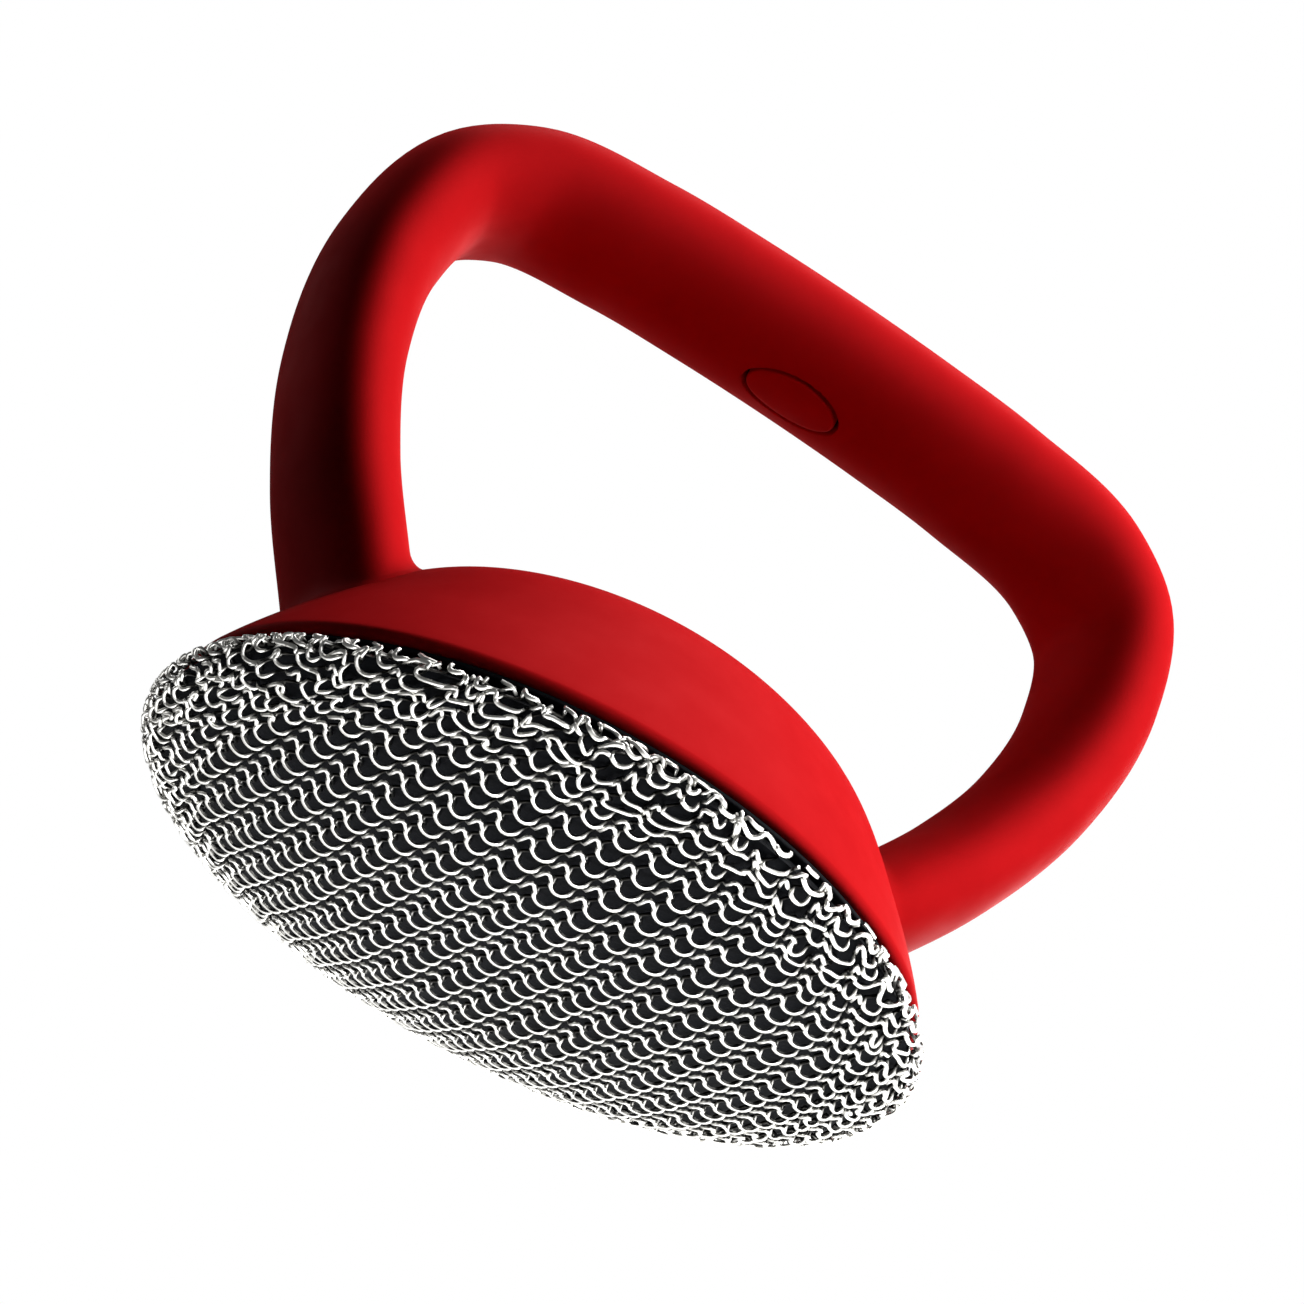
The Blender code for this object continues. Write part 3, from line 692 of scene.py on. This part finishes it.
def laidCourses():
    # each course is one wire: a smooth curve through the points of one stitch, repeated a stitch further each
    # time, so that arches and bends stand outside and the legs pass behind the next course
    courses = np.arange(-knit["courses"], knit["courses"] + 1)
    oneStitch = smoothPath(knit["stitch"], knit["spanSteps"], (1, 0, 0), (1, 0, 0))[:-1]
    bend = np.vstack((np.tile(oneStitch, (2 * knit["stitches"], 1)), oneStitch[:1]))
    reach = knit["stitches"] * len(oneStitch)
    stitch, course = np.meshgrid(np.arange(-reach, reach + 1) / len(oneStitch), courses)
    own = stitchNoise(stitch, len(courses))
    rough = latticeToFlat(stitch, course)
    loose = np.clip((np.hypot(rough[..., 0], rough[..., 1]) - knit["looseFrom"]) / knit["looseOver"], 0, 1)
    taller = 1 + uneven["taller"][0] * own[0] + uneven["taller"][1] * loose * own[0]
    wider = 1 + uneven["wider"] * loose * own[1] * np.sin(2 * np.pi * stitch)
    along = knit["phase"] + np.floor(stitch) + bend[:, 0] * wider / knit["stitchWidth"]
    flat = latticeToFlat(along, course + bend[:, 1] * taller / knit["courseSpacing"])
    for size, seed, middle, added in uneven["drifts"]:
        flat += drift(flat, size, seed) * (middle + added * loose)[..., None]
    flat += np.stack((own[2], own[3]), -1) * (uneven["own"][0] + uneven["own"][1] * loose)[..., None]
    outwards = np.broadcast_to(bend[:, 2], stitch.shape)
    front = oneStitch[:, 2].max()
    depth = front + knit["thick"] / 2 + knit["clearance"] - outwards
    behind = (front - outwards) / np.ptp(oneStitch[:, 2])
    narrowed = knit["wide"] + (knit["legWide"] - knit["wide"]) * behind
    halfWide = narrowed * (1 - knit["looseNarrower"] * loose) / 2
    return flat, depth, behind, halfWide


def keptSpans(flat):
    # the unbroken stretches of each course that lie within the uneven edge
    bearing = np.arctan2(flat[..., 1], flat[..., 0])
    high, often, shift = uneven["edgeSine"]
    edge = knit["edge"] + high * np.sin(often * bearing + shift)
    high, often, shift = uneven["edgeCosine"]
    edge = edge - high * np.cos(often * bearing + shift)
    spans = []
    for k, inside in enumerate(np.hypot(flat[..., 0], flat[..., 1]) < edge):
        change = np.flatnonzero(np.diff(np.concatenate(((False,), inside, (False,))).astype(int)))
        spans += [(k, slice(a, b)) for a, b in zip(change[::2], change[1::2]) if b - a > knit["shortest"]]
    return spans


def wireTube(centre, normal, halfWide):
    # rings of points round a wire: centre + side * (w/2) cos a + top * (t/2) sin a
    section = np.linspace(0, 2 * np.pi, knit["sides"], endpoint=False)
    run = np.gradient(centre, axis=0)
    run /= np.linalg.norm(run, axis=1)[:, None]
    side = np.cross(run, normal)
    side /= np.linalg.norm(side, axis=1)[:, None]
    top = np.cross(side, run)
    return (
        centre[:, None]
        + side[:, None] * (halfWide[:, None] * np.cos(section))[..., None]
        + top[:, None] * (knit["thick"] / 2 * np.sin(section))[:, None]
    )


def tubeUv(centre):
    # for each quad of a tube: the share of the way round, and the length along the wire
    sides = knit["sides"]
    length = lengthsAlong(centre)
    low, high = np.repeat(length[:-1], sides), np.repeat(length[1:], sides)
    first = np.tile(np.arange(sides) / sides, len(centre) - 1)
    second = first + 1 / sides
    corners = ((first, low), (second, low), (second, high), (first, high))
    return np.stack([np.stack(corner, -1) for corner in corners], 1).reshape(-1, 2)


def knittedWire():
    # a tube along each kept stretch of wire; the tubes' quads come first and their end caps after them
    flat, depth, behind, halfWide = laidCourses()
    sides = knit["sides"]
    points, quads, caps, wireUv, legShadeShare, base = [], [], [], [], [], 0
    for k, span in keptSpans(flat):
        centre, normal = onCover(flat[k, span], depth[k, span])
        count = len(centre)
        points.append(wireTube(centre, normal, halfWide[k, span]).reshape(-1, 3))
        quads += (gridFaces(count, sides) + base).tolist()
        firstCap, lastCap = endRings(count, sides)
        caps += [[base + corner for corner in firstCap[::-1]], [base + corner for corner in lastCap]]
        wireUv.append(tubeUv(centre))
        # the share of painted shade on each point, growing with how deep the wire lies behind the front
        legShadeShare.append(np.repeat(np.clip((behind[k, span] - knit["darkFrom"]) / knit["darkOver"], 0, 1), sides))
        base += count * sides
    mesh = bpy.data.meshes.new("knittedWire")
    mesh.from_pydata((np.vstack(points) * mm).tolist(), [], quads + caps)
    uv = np.vstack(wireUv)
    uv = np.vstack((uv, np.zeros((len(mesh.loops) - len(uv), 2))))
    mesh.uv_layers.new(name="wire").data.foreach_set("uv", uv.ravel())
    mesh.attributes.new("legShadeShare", "FLOAT", "POINT").data.foreach_set("value", np.concatenate(legShadeShare))
    piece = pieceOf("knittedWire", mesh, wireSteel, knit["smoothAngle"], False)
    print("knit:", len(flat), "courses,", sum(len(p.vertices) - 2 for p in mesh.polygons), "triangles")
    finishPiece(piece, "steel", "knitted_wire_cover")


domeShell()
print("dome made")
gripSkin()
ovalInlay()
print("handle made")
scrubbingPad()
print("pad made")
knittedWire()


# CAD nodes that stay

def dress(names, material):
    # gives the CAD node's own slots the better material
    for name in names:
        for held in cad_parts[name].material_slots:
            held.material = material


dress(("foot_screw_left_front", "foot_screw_left_rear", "foot_screw_right_front", "foot_screw_right_rear"), plated)
dress(("cinch_wire",), blackened)
dress(("carrier_plate", "handle_core"), nylon)
print("CAD nodes dressed")


# floor, light and camera; lengths are in metres from here on

floorLook = {
    "pale": "#EDECEA", "shade": "#E6E5E2", "mottleScale": 9.0, "sweep": "#F4F3F1", "fade": (0.15, 0.55),
    "half": 4, "drop": 0.0002,
}


def studioFloor():
    # a pale matt floor that the brush stands on, which fades into an evenly lit sweep; its back isn't drawn,
    # because the camera looks up from below it
    made, tree, output, place = newMaterial("pale studio floor")
    mottle = noiseAt(tree, place, floorLook["mottleScale"], Detail=4.0)
    tint = mixedColour(tree, mottle, floorLook["pale"], floorLook["shade"])
    matt = addNode(tree, "ShaderNodeBsdfDiffuse", links={"Color": tint}).outputs["BSDF"]
    reach = addNode(tree, "ShaderNodeVectorMath", {"operation": "LENGTH"})
    tree.links.new(place, reach.inputs[0])
    sweep = addNode(
        tree, "ShaderNodeEmission", inputs={"Color": linearColour(floorLook["sweep"]), "Strength": 1.0}
    ).outputs["Emission"]
    paper = mixedShader(tree, ranged(tree, reach.outputs["Value"], floorLook["fade"]), matt, sweep)
    clear = addNode(tree, "ShaderNodeBsdfTransparent").outputs["BSDF"]
    back = addNode(tree, "ShaderNodeNewGeometry").outputs["Backfacing"]
    tree.links.new(mixedShader(tree, back, paper, clear), output.inputs["Surface"])
    half, low = floorLook["half"], -floorLook["drop"]
    mesh = bpy.data.meshes.new("studioFloor")
    corners = [(-half, -half, low), (half, -half, low), (half, half, low), (-half, half, low)]
    mesh.from_pydata(corners, [], [(0, 1, 2, 3)])
    mesh.materials.append(made)
    floor = linked("studioFloor", mesh)
    floor.visible_shadow = False
    floor.visible_diffuse = False
    floor.visible_glossy = False
    floor.visible_transmission = False


eye = {
    "place": (-0.087917, -0.436468, -0.182817), "right": (0.82530525, -0.38277426, 0.41515673),
    "up": (-0.53711001, -0.30517014, 0.78637397), "back": (-0.17431028, -0.8719834, -0.45745041), "angle": 17.94,
    "clipStart": 0.01,
}
eyeTurn = Matrix((eye["right"], eye["up"], eye["back"])).transposed()


def studioCamera():
    data = bpy.data.cameras.new("camera")
    data.sensor_fit = "AUTO"
    data.angle = np.radians(eye["angle"])
    data.clip_start = eye["clipStart"]
    camera = linked("camera", data)
    camera.matrix_world = Matrix.Translation(eye["place"]) @ eyeTurn.to_4x4()
    bpy.context.scene.camera = camera


# direction from the brush in the camera's terms (right, up, towards the camera), size and power
lamps = {
    "right": ((0.96, 0.12, 0.24), 0.5, 10.4),
    "below": ((-0.2, -0.87, 0.45), 0.4, 3.0),
    "behindRight": ((0.28, -0.37, -0.89), 0.4, 4.0),
    "above": ((0.38, 0.70, -0.58), 0.6, 6.2),
    "behindLeft": ((-0.72, 0.36, -0.59), 0.3, 0.8),
}
studio = {
    "middle": (0.0, 0.0, 0.045), "lampDistance": 0.8, "dim": 0.012, "paper": 1.0,
    # what the steel mirrors: pale walls, dim on the left and brightest low down on the right
    "brightSide": (0.86, 0.1, -0.5), "sideRange": (-0.3, 0.95), "wallRange": (0.1, 3.0),
}


def studioLamps():
    middle = Vector(studio["middle"])
    for name, (direction, size, power) in lamps.items():
        data = bpy.data.lights.new(name, "AREA")
        data.size = size
        data.energy = power
        lamp = linked(name, data)
        lamp.location = middle + eyeTurn @ Vector(direction).normalized() * studio["lampDistance"]
        lamp.rotation_euler = (lamp.location - middle).to_track_quat("Z", "Y").to_euler()


def studioWalls():
    # white paper behind the brush, pale walls in the steel, and nearly no light from either on the rest
    world = bpy.data.worlds.new("white studio")
    world.use_nodes = True
    tree = world.node_tree
    tree.nodes.clear()
    white = {"Color": (1, 1, 1, 1)}
    path = addNode(tree, "ShaderNodeLightPath")
    dim = addNode(tree, "ShaderNodeBackground", inputs={**white, "Strength": studio["dim"]})
    paper = addNode(tree, "ShaderNodeBackground", inputs={**white, "Strength": studio["paper"]})
    far = addNode(tree, "ShaderNodeVectorMath", {"operation": "DOT_PRODUCT"})
    tree.links.new(addNode(tree, "ShaderNodeTexCoord").outputs["Generated"], far.inputs[0])
    far.inputs[1].default_value = studio["brightSide"]
    glow = ranged(tree, far.outputs["Value"], studio["sideRange"], studio["wallRange"])
    walls = addNode(tree, "ShaderNodeBackground", inputs=white, links={"Strength": glow})
    mirrored = mixedShader(
        tree, path.outputs["Is Glossy Ray"], dim.outputs["Background"], walls.outputs["Background"]
    )
    seen = mixedShader(tree, path.outputs["Is Camera Ray"], mirrored, paper.outputs["Background"])
    addNode(tree, "ShaderNodeOutputWorld", links={"Surface": seen})
    bpy.context.scene.world = world


studioFloor()
studioCamera()
studioLamps()
studioWalls()
bpy.context.scene.view_settings.view_transform = "Standard"  # keeps the paper white and the red full
print("floor, camera and light set")
